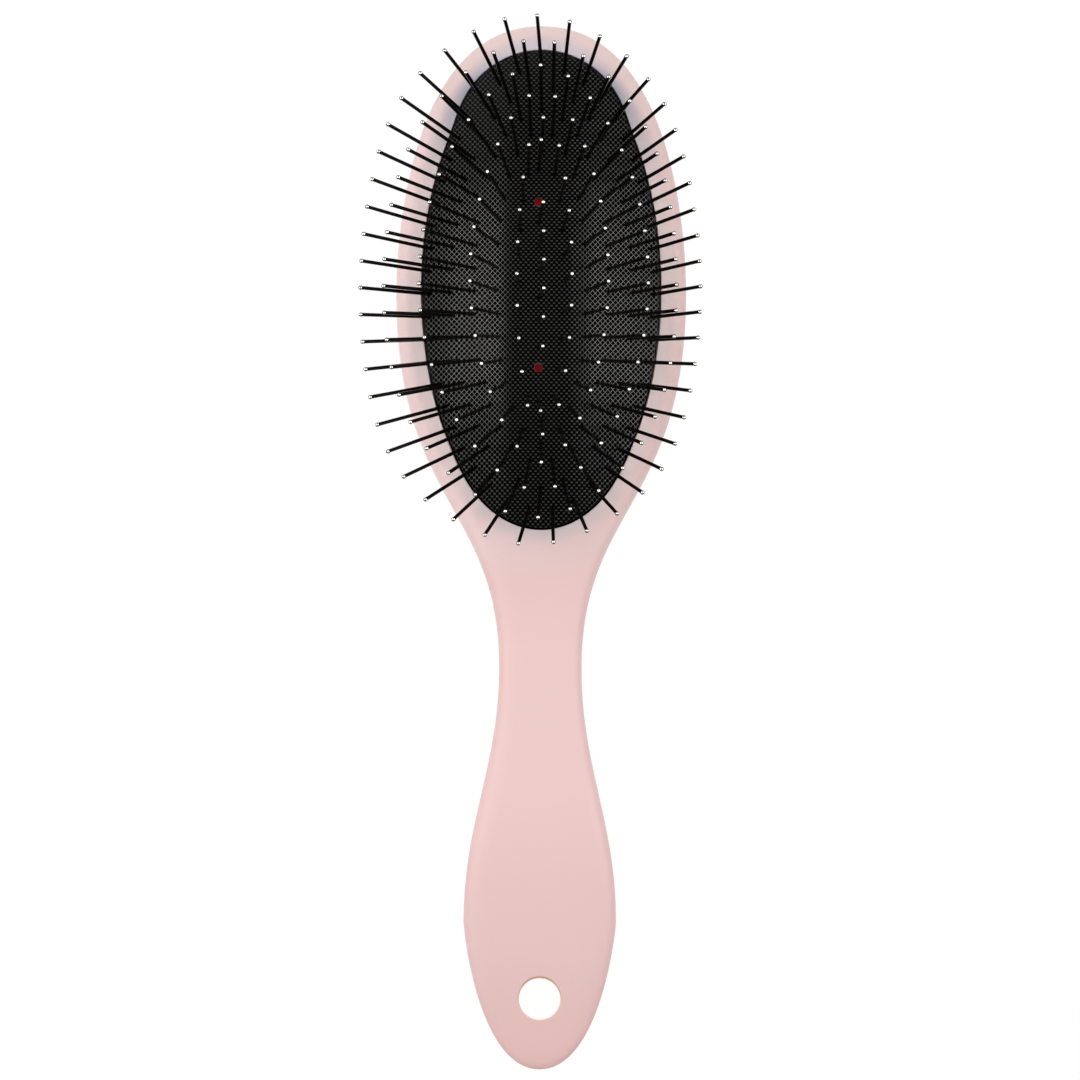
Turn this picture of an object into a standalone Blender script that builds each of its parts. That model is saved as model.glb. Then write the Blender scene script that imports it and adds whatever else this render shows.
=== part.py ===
# A pin brush for hair, lying on its back: an oval air cushion full of steel pins, set in the
# head of one moulded handle. Metres, +Z up. The origin is on the flat back, under the middle
# of the cushion. +Y runs to the head's end, -Y to the handle's tail, and the pins point up.
import math

import bmesh
import bpy
import numpy as np

# Outline of the handle, seen from the front
HEAD_END = 0.0605
HEAD_WIDEST_AT = -0.0002
HEAD_HALF_WIDTH = 0.0328
NECK_AT = -0.0849
NECK_HALF_WIDTH = 0.0093
GRIP_WIDEST_AT = -0.1421
GRIP_HALF_WIDTH = 0.0172
TAIL_END = -0.1755

# Fullness of its curves: the two tangents of each span, as shares of its length, and at the
# head's end and the tail, where a tangent runs across, of the width there
HEAD_END_PULL_SHARES = (0.963, 0.115)
HEAD_TO_NECK_PULL_SHARES = (0.565, 0.427)
NECK_TO_GRIP_PULL_SHARES = (0.397, 0.388)
TAIL_PULL_SHARES = (0.089, 0.788)

# Heights of its front and back faces above the surface it lies on
HEAD_THICKNESS = 0.0170
HEAD_BACK_FLAT_TO = -0.0450
NECK_FRONT = 0.0145
NECK_BACK = 0.0015
GRIP_THICKEST_AT = -0.1150
GRIP_THICKNESS = 0.0150
TAIL_FRONT = 0.0062
TAIL_BACK = 0.0012
FRONT_CROWN = 0.0006
CROWN_SHARE = 0.5

# Its edges: widths of the rounding in front and behind, and how far up the side stands out
HEAD_FRONT_ROUNDING = 0.0045
NECK_FRONT_ROUNDING = 0.0040
GRIP_FRONT_ROUNDING = 0.0050
TAIL_FRONT_ROUNDING = 0.0030
HEAD_BACK_ROUNDING = 0.0150
NECK_BACK_ROUNDING = 0.0060
GRIP_BACK_ROUNDING = 0.0080
TAIL_BACK_ROUNDING = 0.0050
WIDEST_LEVEL_SHARE = 0.55

HANG_HOLE_RADIUS = 0.0047
HANG_HOLE_FROM_TAIL = 0.0157

# Seat of the cushion in the head
RIM_BESIDE_CUSHION = 0.0056
RIM_PAST_CUSHION = 0.0063
SEAT_DEPTH = 0.0068
LEDGE_WIDTH = 0.0030
FLOOR_THICKNESS = 0.0025

# Rubber skin, the frame that clamps its lip, and the red backing that holds the pins
SKIN_THICKNESS = 0.0010
EDGE_ABOVE_RIM = 0.0003
DOME_HEIGHT = 0.0107
CROWN_HALF_WIDTH = 0.0070
STRAIGHT_FALL_SHARE = 0.6
VENT_RADIUS = 0.00105
FRAME_THICKNESS = 0.0020
FRAME_WIDTH = 0.0026
BACKING_THICKNESS = 0.0010

# Pins: five oval rings round one row
PIN_LENGTH = 0.0230
PIN_RADIUS = 0.00042
TIP_RADIUS = 0.00050
PIN_ANCHOR = 0.0005
RING_INSET = 0.0020
RING_END_INSET = 0.0043
INNER_RING_HALF_WIDTH = 0.0052
INNER_RING_HALF_LENGTH = 0.0299
RING_PIN_COUNTS = (47, 41, 35, 29, 20)

# The centre row and the two vents lie inside the inner ring, a little to -X, at these shares of
# its half-length
CENTRE_ROW_AT = -0.0006
CENTRE_ROW_SHARES = (0.094, 0.281, 0.468, 0.860)
VENT_SHARE = 0.629

# The backing is cut in slices, one for each ring. A slice ends this share of the way from its
# ring to the next one, beside and past the middle, because the pins slant inwards under the skin
SLICE_SIDE_SHARE = 0.60
SLICE_END_SHARE = 0.44
SLICE_GAP = 0.0004

# Lean of a pin: the tips fan out from the middle, less in one pair of opposite corners than in
# the other, and all lean a little to -X and -Y
FAN_ACROSS_RATIO = 0.579
FAN_ACROSS_SKEW_RATIO = 0.050
FAN_ALONG_RATIO = 0.189
FAN_ALONG_SKEW_RATIO = 0.035
SIDE_LEAN = 0.00150
TAIL_LEAN = 0.00021

# Folds in the rubber lean them further. One along the crown leans the pins there to +X, and a
# ripple across and one along lean them inwards near the middle and outwards past it
CROWN_LEAN = 0.00078
FOLD_LEAN = 0.00194
FOLD_PERIOD = 0.0444
RIPPLE_ACROSS_LEAN = 0.00203
RIPPLE_ACROSS_PERIOD = 0.0223
RIPPLE_ALONG_LEAN = 0.00045
RIPPLE_ALONG_PERIOD = 0.0567

# Clearance between pieces that touch on the real brush
GAP = 0.0003

# Facets round the cushion, along a span of the outline and round an edge
OVAL_SIDES = 40
SPAN_STEPS = 11
ROUNDING_STEPS = 4
VENT_SIDES = 10

CUSHION_HALF_WIDTH = HEAD_HALF_WIDTH - RIM_BESIDE_CUSHION
CUSHION_HALF_LENGTH = HEAD_END - RIM_PAST_CUSHION
EDGE_HEIGHT = HEAD_THICKNESS + EDGE_ABOVE_RIM
LEDGE_HEIGHT = HEAD_THICKNESS - SEAT_DEPTH
LEDGE_INSET = LEDGE_WIDTH - GAP
LIP_BOTTOM = LEDGE_HEIGHT + GAP
LIP_TOP = LIP_BOTTOM + SKIN_THICKNESS
BACKING_DEPTH = SKIN_THICKNESS + GAP


def new_material(name, colour, roughness, metallic=0.0):
    material = bpy.data.materials.new(name)
    material.use_nodes = True
    shader = material.node_tree.nodes["Principled BSDF"]
    shader.inputs["Base Color"].default_value = (*colour, 1.0)
    shader.inputs["Roughness"].default_value = roughness
    shader.inputs["Metallic"].default_value = metallic
    material.diffuse_color = (*colour, 1.0)
    return material


def add_object(name, bm, material, collection, origin_height=0.0):
    bmesh.ops.recalc_face_normals(bm, faces=bm.faces)
    bmesh.ops.translate(bm, verts=bm.verts, vec=(0, 0, -origin_height))
    mesh = bpy.data.meshes.new(name)
    bm.to_mesh(mesh)
    bm.free()
    mesh.materials.append(material)
    mesh.shade_smooth()
    mesh.set_sharp_from_angle(angle=math.radians(35))
    piece = bpy.data.objects.new(name, mesh)
    piece.location.z = origin_height
    collection.objects.link(piece)
    return piece


def combine(piece, operand, operation):
    operand.hide_render = True
    operand.display_type = "WIRE"
    boolean = piece.modifiers.new(operand.name, "BOOLEAN")
    boolean.operation = operation
    boolean.object = operand
    boolean.solver = "EXACT"
    boolean.material_mode = "TRANSFER"


def span_across(bm, ring):
    """Close a ring that is alike on both sides of X = 0 with strips across it."""
    count = len(ring)
    for j in range(count // 2):
        corners = (ring[j], ring[j + 1], ring[(count - j - 1) % count], ring[(count - j) % count])
        bm.faces.new(list(dict.fromkeys(corners)))


def loft(bm, rings, hollow=False):
    """Join rings with as many points each, closed by caps or, if hollow, back to the first."""
    rows = [[bm.verts.new(point) for point in ring] for ring in rings]
    pairs = list(zip(rows, rows[1:]))
    if hollow:
        pairs.append((rows[-1], rows[0]))
    else:
        span_across(bm, rows[0])
        span_across(bm, rows[-1])
    for lower, upper in pairs:
        for j in range(len(lower)):
            k = (j + 1) % len(lower)
            bm.faces.new((lower[j], lower[k], upper[k], upper[j]))


def oval(half_width, half_length, height):
    """Points round an oval from its +Y end; height is a number or a function of x and y."""
    points = []
    for j in range(OVAL_SIDES):
        angle = math.tau * j / OVAL_SIDES
        x = half_width * math.sin(angle)
        y = half_length * math.cos(angle)
        points.append((x, y, height(x, y) if callable(height) else height))
    return points


def cushion_oval(inset, height):
    return oval(CUSHION_HALF_WIDTH - inset, CUSHION_HALF_LENGTH - inset, height)


# Handle: one moulding with the head, neck and grip
def bezier(start, start_pull, end_pull, end):
    """Points and tangents along one cubic span, without its last point."""
    a, b, c, d = (np.array(point) for point in (start, start_pull, end_pull, end))
    samples = []
    for t in np.arange(SPAN_STEPS) / SPAN_STEPS:
        s = 1 - t
        place = s**3 * a + 3 * s * s * t * b + 3 * s * t * t * c + t**3 * d
        samples.append((place, s * s * (b - a) + 2 * s * t * (c - b) + t * t * (d - c)))
    return samples


def side_span(start, end, pulls):
    """A span between two places where the outline runs straight down."""
    length = start[1] - end[1]
    return bezier(start, (start[0], start[1] - pulls[0] * length),
                  (end[0], end[1] + pulls[1] * length), end)


def half_outline():
    """Points and inward directions from the head's end, down the +X side, to the tail."""
    head = (HEAD_HALF_WIDTH, HEAD_WIDEST_AT)
    neck = (NECK_HALF_WIDTH, NECK_AT)
    grip = (GRIP_HALF_WIDTH, GRIP_WIDEST_AT)
    head_pull = (HEAD_HALF_WIDTH, HEAD_WIDEST_AT + HEAD_END_PULL_SHARES[1] * (HEAD_END - HEAD_WIDEST_AT))
    grip_pull = (GRIP_HALF_WIDTH, GRIP_WIDEST_AT - TAIL_PULL_SHARES[0] * (GRIP_WIDEST_AT - TAIL_END))
    samples = bezier((0, HEAD_END), (HEAD_END_PULL_SHARES[0] * HEAD_HALF_WIDTH, HEAD_END), head_pull, head)
    samples += side_span(head, neck, HEAD_TO_NECK_PULL_SHARES)
    samples += side_span(neck, grip, NECK_TO_GRIP_PULL_SHARES)
    samples += bezier(grip, grip_pull, (TAIL_PULL_SHARES[1] * GRIP_HALF_WIDTH, TAIL_END), (0, TAIL_END))
    outline = [(place, np.array((tangent[1], -tangent[0])) / np.hypot(*tangent))
               for place, tangent in samples]
    outline.append((np.array((0, TAIL_END)), np.array((0, 1))))
    return outline


def ease(y, *stations):
    """The value at y between stations (y, value), listed from the head's end to the tail."""
    for (y0, v0), (y1, v1) in zip(stations, stations[1:]):
        if y > y1:
            t = max((y0 - y) / (y0 - y1), 0)
            return v0 + (v1 - v0) * t * t * (3 - 2 * t)
    return stations[-1][1]


def front_height(y):
    return ease(y, (-CUSHION_HALF_LENGTH - LEDGE_WIDTH, HEAD_THICKNESS), (NECK_AT, NECK_FRONT),
                (GRIP_THICKEST_AT, GRIP_THICKNESS), (TAIL_END, TAIL_FRONT))


def front_crown(y):
    return ease(y, (-CUSHION_HALF_LENGTH - LEDGE_WIDTH, 0), (NECK_AT, FRONT_CROWN),
                (GRIP_WIDEST_AT, FRONT_CROWN), (TAIL_END, 0))


def back_height(y):
    return ease(y, (HEAD_BACK_FLAT_TO, 0), (NECK_AT, NECK_BACK), (GRIP_THICKEST_AT, 0),
                (GRIP_WIDEST_AT, 0), (TAIL_END, TAIL_BACK))


def widest_height(y):
    return back_height(y) + WIDEST_LEVEL_SHARE * (front_height(y) - back_height(y))


def handle_ring(outline, roundings, width_share, height, toward_middle=0.0):
    """The outline drawn in by a share of the local rounding, and then towards X = 0."""
    side = []
    for place, inward in outline:
        rounding = ease(place[1], *zip((HEAD_WIDEST_AT, NECK_AT, GRIP_WIDEST_AT, TAIL_END), roundings))
        x, y = place + inward * rounding * width_share
        side.append((max(x, 0) * (1 - toward_middle), y, height(y)))
    return side + [(-x, y, z) for x, y, z in side[-2:0:-1]]


def handle_mesh():
    outline = half_outline()
    behind = (HEAD_BACK_ROUNDING, NECK_BACK_ROUNDING, GRIP_BACK_ROUNDING, TAIL_BACK_ROUNDING)
    before = (HEAD_FRONT_ROUNDING, NECK_FRONT_ROUNDING, GRIP_FRONT_ROUNDING, TAIL_FRONT_ROUNDING)
    rings = []
    for turn in np.linspace(0, math.pi / 2, ROUNDING_STEPS + 1):
        rings.append(handle_ring(outline, behind, 1 - math.sin(turn),
                     lambda y: widest_height(y) + (back_height(y) - widest_height(y)) * math.cos(turn)))
    for turn in np.linspace(0, math.pi / 2, ROUNDING_STEPS + 1)[1:]:
        rings.append(handle_ring(outline, before, 1 - math.cos(turn),
                     lambda y: widest_height(y) + (front_height(y) - widest_height(y)) * math.sin(turn)))
    rings.append(handle_ring(outline, before, 1, lambda y: front_height(y) + front_crown(y), CROWN_SHARE))
    bm = bmesh.new()
    loft(bm, rings)
    return bm


def recess_mesh():
    bm = bmesh.new()
    loft(bm, [cushion_oval(LEDGE_INSET, FLOOR_THICKNESS), cushion_oval(LEDGE_INSET, LEDGE_HEIGHT),
              cushion_oval(-GAP, LEDGE_HEIGHT), cushion_oval(-GAP, 2 * HEAD_THICKNESS)])
    return bm


def upright_cylinder(bm, radius, sides, x, y, bottom, top):
    made = bmesh.ops.create_cone(bm, cap_ends=True, segments=sides, radius1=radius, radius2=radius,
                                 depth=top - bottom)
    bmesh.ops.translate(bm, verts=made["verts"], vec=(x, y, (bottom + top) / 2))


def build_handle(parts, cutters, pink):
    handle = add_object("handle", handle_mesh(), pink, parts)
    combine(handle, add_object("recess_cutter", recess_mesh(), pink, cutters), "DIFFERENCE")
    bm = bmesh.new()
    upright_cylinder(bm, HANG_HOLE_RADIUS, 28, 0, TAIL_END + HANG_HOLE_FROM_TAIL, -GRIP_THICKNESS,
                     2 * GRIP_THICKNESS)
    combine(handle, add_object("hang_hole_cutter", bm, pink, cutters), "DIFFERENCE")


# Cushion: its face is a dome that falls from a level strip along the crown
def face_height(x, y):
    along = max(1 - (y / CUSHION_HALF_LENGTH) ** 2, 0)
    edge_at = max(CUSHION_HALF_WIDTH * math.sqrt(along), GAP)
    strip = CROWN_HALF_WIDTH / CUSHION_HALF_WIDTH
    fall = min(max((abs(x) / edge_at - strip) / (1 - strip), 0), 1)
    across = 1 - STRAIGHT_FALL_SHARE * fall - (1 - STRAIGHT_FALL_SHARE) * fall * fall
    return EDGE_HEIGHT + DOME_HEIGHT * along * across


def face_normal(x, y):
    rise_x = (face_height(x + GAP, y) - face_height(x - GAP, y)) / (2 * GAP)
    rise_y = (face_height(x, y + GAP) - face_height(x, y - GAP)) / (2 * GAP)
    normal = np.array((-rise_x, -rise_y, 1))
    return normal / np.linalg.norm(normal)


def below_face(depth):
    """Height function of the surface that lies a given depth under the cushion's face."""
    return lambda x, y: face_height(x, y) - depth / face_normal(x, y)[2]


def ring_size(index):
    """Half-axes of a ring of pins; a share past a whole index lies on the way to the next."""
    steps = len(RING_PIN_COUNTS) - 1
    outer_width = CUSHION_HALF_WIDTH - RING_INSET
    outer_length = CUSHION_HALF_LENGTH - RING_END_INSET
    return (outer_width + (INNER_RING_HALF_WIDTH - outer_width) * index / steps,
            outer_length + (INNER_RING_HALF_LENGTH - outer_length) * index / steps)


def slice_size(index, grow):
    return ring_size(index + SLICE_SIDE_SHARE)[0] + grow, ring_size(index + SLICE_END_SHARE)[1] + grow


def skin_mesh():
    inner_sizes = [slice_size(index, 0) for index in range(len(RING_PIN_COUNTS))]
    underside = below_face(SKIN_THICKNESS)
    rings = [oval(*size, face_height) for size in reversed(inner_sizes)]
    rings += [cushion_oval(0, EDGE_HEIGHT), cushion_oval(0, LIP_BOTTOM),
              cushion_oval(LEDGE_INSET, LIP_BOTTOM), cushion_oval(LEDGE_INSET, LIP_TOP),
              cushion_oval(SKIN_THICKNESS, LIP_TOP), cushion_oval(SKIN_THICKNESS, underside)]
    rings += [oval(*size, underside) for size in inner_sizes]
    bm = bmesh.new()
    loft(bm, rings)
    return bm


def frame_mesh():
    outer = SKIN_THICKNESS + GAP
    inner = outer + FRAME_WIDTH
    bottom = LIP_TOP + GAP
    top = bottom + FRAME_THICKNESS
    bm = bmesh.new()
    loft(bm, [cushion_oval(outer, bottom), cushion_oval(outer, top),
              cushion_oval(inner, top), cushion_oval(inner, bottom)], hollow=True)
    return bm


def slice_mesh(index):
    """The backing under one ring of pins; the last one is the strip under the centre row."""
    top = below_face(BACKING_DEPTH)
    bottom = below_face(BACKING_DEPTH + BACKING_THICKNESS)
    if index == 0:
        inset = SKIN_THICKNESS + GAP
        outer = (CUSHION_HALF_WIDTH - inset, CUSHION_HALF_LENGTH - inset)
    else:
        outer = slice_size(index - 1, -SLICE_GAP / 2)
    bm = bmesh.new()
    if index == len(RING_PIN_COUNTS):
        loft(bm, [oval(*outer, bottom), oval(*outer, top)])
    else:
        inner = slice_size(index, SLICE_GAP / 2)
        loft(bm, [oval(*outer, bottom), oval(*outer, top), oval(*inner, top), oval(*inner, bottom)],
             hollow=True)
    return bm


# Pins: where they stand on the face, and how they lean
def ring_places(index):
    """Even steps round an oval; every other ring is shifted by half a step."""
    half_width, half_length = ring_size(index)
    angles = np.linspace(0, math.tau, 2001)
    x, y = half_width * np.sin(angles), half_length * np.cos(angles)
    distance = np.concatenate(([0], np.cumsum(np.hypot(np.diff(x), np.diff(y)))))
    count = RING_PIN_COUNTS[index]
    steps = (np.arange(count) + 0.5 * (index % 2)) / count * distance[-1]
    return list(zip(np.interp(steps, distance, x), np.interp(steps, distance, y)))


def pin_places(index):
    if index == len(RING_PIN_COUNTS):
        return [(CENTRE_ROW_AT, side * share * INNER_RING_HALF_LENGTH)
                for share in CENTRE_ROW_SHARES for side in (1, -1)]
    return ring_places(index)


def pin_direction(x, y):
    across = x / CUSHION_HALF_WIDTH
    along = y / CUSHION_HALF_LENGTH
    crown = CROWN_LEAN + FOLD_LEAN * math.cos(math.tau * x / FOLD_PERIOD)
    ripple_across = RIPPLE_ACROSS_LEAN * math.sin(math.tau * x / RIPPLE_ACROSS_PERIOD)
    ripple_along = RIPPLE_ALONG_LEAN * math.sin(math.tau * y / RIPPLE_ALONG_PERIOD)
    lean_x = x * (FAN_ACROSS_RATIO - FAN_ACROSS_SKEW_RATIO * along) - SIDE_LEAN
    lean_x += (1 - along**2) * (crown - ripple_across)
    lean_y = y * (FAN_ALONG_RATIO - FAN_ALONG_SKEW_RATIO * across) - TAIL_LEAN - ripple_along
    return np.array((lean_x, lean_y, math.sqrt(PIN_LENGTH**2 - lean_x**2 - lean_y**2))) / PIN_LENGTH


def add_rod(bm, x, y, stations):
    """A four-sided rod through the face at x, y; stations are (distance along it, radius)."""
    base = np.array((x, y, face_height(x, y)))
    along = pin_direction(x, y)
    across = np.cross(along, (0, 1, 0))
    across /= np.linalg.norm(across)
    corners = (across, np.cross(along, across), -across, -np.cross(along, across))
    loft(bm, [[base + along * distance + corner * radius for corner in corners]
              for distance, radius in stations])


def pins_mesh(index):
    bm = bmesh.new()
    for x, y in pin_places(index):
        start = (BACKING_DEPTH + PIN_ANCHOR) / face_normal(x, y).dot(pin_direction(x, y))
        add_rod(bm, x, y, [(-start, PIN_RADIUS), (PIN_LENGTH - 2 * TIP_RADIUS, PIN_RADIUS),
                           (PIN_LENGTH - TIP_RADIUS, TIP_RADIUS), (PIN_LENGTH, 0)])
    bmesh.ops.remove_doubles(bm, verts=bm.verts, dist=1e-6)
    return bm


def skin_holes_mesh():
    """Sleeves round every pin, and the two round vents."""
    bm = bmesh.new()
    radius = PIN_RADIUS + GAP * math.sqrt(2)
    for index in range(len(RING_PIN_COUNTS) + 1):
        for x, y in pin_places(index):
            reach = 2 * SKIN_THICKNESS / face_normal(x, y).dot(pin_direction(x, y))
            add_rod(bm, x, y, [(-reach, radius), (reach, radius)])
    for side in (1, -1):
        y = side * VENT_SHARE * INNER_RING_HALF_LENGTH
        level = face_height(CENTRE_ROW_AT, y)
        upright_cylinder(bm, VENT_RADIUS, VENT_SIDES, CENTRE_ROW_AT, y, level - 2 * SKIN_THICKNESS,
                         level + SKIN_THICKNESS)
    return bm


def build_cushion(parts, cutters, black_rubber, black_plastic, red_rubber, steel):
    skin = add_object("cushion_skin", skin_mesh(), black_rubber, parts)
    combine(skin, add_object("skin_hole_cutter", skin_holes_mesh(), black_rubber, cutters), "DIFFERENCE")
    add_object("cushion_frame", frame_mesh(), black_plastic, parts)
    for index in range(len(RING_PIN_COUNTS) + 1):
        name = f"pins_ring_{index + 1}" if index < len(RING_PIN_COUNTS) else "pins_centre_row"
        backing = add_object(name, slice_mesh(index), red_rubber, parts, EDGE_HEIGHT)
        pins = add_object(name + "_steel", pins_mesh(index), steel, cutters, EDGE_HEIGHT)
        combine(backing, pins, "UNION")


def build_brush():
    for old in list(bpy.data.objects):
        bpy.data.objects.remove(old, do_unlink=True)
    parts = bpy.data.collections.new("pin_brush")
    cutters = bpy.data.collections.new("pin_brush_cutters")
    bpy.context.scene.collection.children.link(parts)
    bpy.context.scene.collection.children.link(cutters)
    build_handle(parts, cutters, new_material("pink_soft_touch", (0.84, 0.60, 0.58), 0.55))
    build_cushion(parts, cutters, new_material("black_rubber", (0.02, 0.02, 0.02), 0.6),
                  new_material("black_plastic", (0.03, 0.03, 0.03), 0.4),
                  new_material("red_rubber", (0.25, 0.0, 0.0), 0.5),
                  new_material("black_steel", (0.03, 0.03, 0.03), 0.2, 1.0))


build_brush()
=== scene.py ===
# A pin brush on a white floor, seen square from the front. It stands in a white tent, with a soft
# light over its head and a softbox at each side.
# Sizes in the dictionaries are in millimetres; the meshes are made in metres.
import math

import bmesh
import bpy
import numpy as np
from mathutils import Matrix, Vector


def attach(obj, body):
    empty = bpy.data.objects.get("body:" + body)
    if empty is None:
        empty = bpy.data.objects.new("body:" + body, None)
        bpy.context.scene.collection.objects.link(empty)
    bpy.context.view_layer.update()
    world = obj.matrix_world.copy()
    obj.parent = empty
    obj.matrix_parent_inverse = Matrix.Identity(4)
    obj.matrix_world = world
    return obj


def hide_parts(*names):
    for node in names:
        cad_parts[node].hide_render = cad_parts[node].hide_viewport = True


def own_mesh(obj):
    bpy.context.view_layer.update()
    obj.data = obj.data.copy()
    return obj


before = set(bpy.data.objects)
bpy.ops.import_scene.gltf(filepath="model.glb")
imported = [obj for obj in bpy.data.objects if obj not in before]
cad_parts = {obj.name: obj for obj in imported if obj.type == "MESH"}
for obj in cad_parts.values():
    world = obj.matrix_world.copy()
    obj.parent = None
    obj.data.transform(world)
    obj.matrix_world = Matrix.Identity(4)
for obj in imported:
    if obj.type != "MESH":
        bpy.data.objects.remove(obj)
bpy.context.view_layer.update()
scene = bpy.context.scene
scene.view_settings.view_transform = "Standard"
mm = 0.001
print("frame loaded:", len(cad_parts), "nodes")


# Camera and lights
view = {
    "tilt": 5.0,             # degrees, from square on towards the tail
    "roll": 0.136,           # degrees: the tail swings a little to the left
    "distance": 2400,        # from the cushion's rim
    "frameWidth": 243.76,    # what the picture is wide, at the rim
    "aim": (-0.15, -56.6),   # from the middle of the cushion, in the picture's plane
    "aimHeight": 17.3,
    "sensor": 36,
}

# The tent and the overhead light do the lighting, and the softboxes shine in whatever is glossy
studio = {
    "boxDistance": 1100,
    # degrees from straight up that each box covers, and half of what it covers round the brush
    "leftFrom": 40, "leftTo": 57, "rightFrom": 38, "rightTo": 68, "halfTurn": 20,
    "leftRadiance": 16.0, "rightRadiance": 10.0,
    # the tent's radiance, and the share by which it is brighter to the left and to the head's end
    "tent": 0.60, "tentToLeft": 0.15, "tentToHead": 0.20,
    "overheadRadiance": 2.0, "overheadSize": 450, "overheadAt": (-40, 50, 450),
    # what is seen of the tent, straight or in gloss: white walls up to a dim ceiling
    "ceiling": 0.10, "wallTo": 0.20, "ceilingFrom": 0.34,
    # the floor as the camera sees it: its own light, and the part that shadows can take away
    "floorGlow": 0.965, "floorShade": 0.05,
    # warm light that the floor adds to whatever faces down to it
    "floorBounce": (0.28, 0.24, 0.215, 1),
    "floorRadius": 6000, "floorSides": 96, "floorDrop": 0.2,
}


def metres(sizes):
    return [size * mm for size in sizes]


# The hex digits of a screen colour, as the light that a shader takes
def linear(hexColour):
    channels = [int(hexColour[i:i + 2], 16) / 255 for i in (0, 2, 4)]
    return [c / 12.92 if c <= 0.04045 else ((c + 0.055) / 1.055) ** 2.4 for c in channels] + [1]


# Adds one node, sets its settings and its sockets, and links the sockets that are given a socket
def addNode(tree, kind, settings=None, sockets=None):
    node = tree.nodes.new("ShaderNode" + kind)
    for name, value in (settings or {}).items():
        setattr(node, name, value)
    for name, value in (sockets or {}).items():
        if isinstance(value, bpy.types.NodeSocket):
            tree.links.new(value, node.inputs[name])
        else:
            node.inputs[name].default_value = value
    return node


def calculate(tree, operation, *values):
    return addNode(tree, "Math", {"operation": operation}, dict(enumerate(values))).outputs[0]


def calculateVector(tree, operation, *values, result="Vector"):
    return addNode(tree, "VectorMath", {"operation": operation}, dict(enumerate(values))).outputs[result]


# Gives the first result at the start of a span, the second at its end, and a mix of both between
def ramp(tree, value, span=(0, 1), results=(0, 1), soft=False):
    return addNode(tree, "MapRange", {"interpolation_type": "SMOOTHSTEP" if soft else "LINEAR"}, {
        "Value": value, "From Min": span[0], "From Max": span[1],
        "To Min": results[0], "To Max": results[1]}).outputs[0]


# Mixes two tints, each one a colour in hex digits or a socket
def mixTints(tree, share, first, second):
    first, second = (linear(tint) if isinstance(tint, str) else tint for tint in (first, second))
    return addNode(tree, "Mix", {"data_type": "RGBA"}, {0: share, 6: first, 7: second}).outputs[2]


def noise(tree, place, scale, detail):
    return addNode(tree, "TexNoise", {}, {"Vector": place, "Scale": scale, "Detail": detail}).outputs["Fac"]


def bump(tree, height, strength, depth):
    return addNode(tree, "Bump", {}, {
        "Strength": strength, "Distance": depth * mm, "Height": height}).outputs[0]


def startMaterial(name):
    material = bpy.data.materials.new(name)
    material.use_nodes = True
    material.node_tree.nodes.clear()
    return material, material.node_tree


def finishMaterial(material, tree, sockets):
    shader = addNode(tree, "BsdfPrincipled", {}, sockets)
    addNode(tree, "OutputMaterial", {}, {"Surface": shader.outputs[0]})
    return material


def makeCamera():
    tilt = math.radians(view["tilt"])
    across, up = (v * mm for v in view["aim"])
    distance = view["distance"] * mm
    camera = bpy.data.objects.new("camera", bpy.data.cameras.new("camera"))
    scene.collection.objects.link(camera)
    camera.location = (across,
                       up * math.cos(tilt) - distance * math.sin(tilt),
                       view["aimHeight"] * mm + up * math.sin(tilt) + distance * math.cos(tilt))
    camera.rotation_euler = (Matrix.Rotation(tilt, 3, "X")
                             @ Matrix.Rotation(math.radians(view["roll"]), 3, "Z")).to_euler()
    camera.data.sensor_width = view["sensor"]
    camera.data.lens = view["sensor"] * view["distance"] / view["frameWidth"]
    camera.data.clip_end = 100
    scene.camera = camera


def hangSoftbox(name, side, lowAngle, highAngle, radiance):
    distance = studio["boxDistance"] * mm
    middle = math.radians((lowAngle + highAngle) / 2)
    height = 2 * distance * math.tan(math.radians(highAngle - lowAngle) / 2)
    width = 2 * distance * math.sin(middle) * math.tan(math.radians(studio["halfTurn"]))
    lamp = bpy.data.lights.new(name, "AREA")
    lamp.shape = "RECTANGLE"
    lamp.size, lamp.size_y = width, height
    lamp.energy = radiance * math.pi * width * height
    softbox = bpy.data.objects.new(name, lamp)
    away = Vector((side * math.sin(middle), 0, math.cos(middle)))
    softbox.location = away * distance
    softbox.rotation_euler = away.to_track_quat("Z", "Y").to_euler()
    softbox.visible_camera = False
    softbox.visible_diffuse = False
    scene.collection.objects.link(softbox)


def hangOverhead():
    lamp = bpy.data.lights.new("overhead", "AREA")
    lamp.shape = "SQUARE"
    lamp.size = studio["overheadSize"] * mm
    lamp.energy = studio["overheadRadiance"] * math.pi * lamp.size**2
    overhead = bpy.data.objects.new("overhead", lamp)
    overhead.location = Vector(studio["overheadAt"]) * mm
    overhead.visible_camera = False
    overhead.visible_glossy = False
    scene.collection.objects.link(overhead)


# 1 for what the camera sees, straight or in gloss and glass, and 0 for what only gives light
def seenDirectly(tree):
    path = addNode(tree, "LightPath").outputs
    mirrored = calculate(tree, "MAXIMUM", path["Is Glossy Ray"], path["Is Transmission Ray"])
    return calculate(tree, "MAXIMUM", path["Is Camera Ray"], mirrored)


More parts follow.
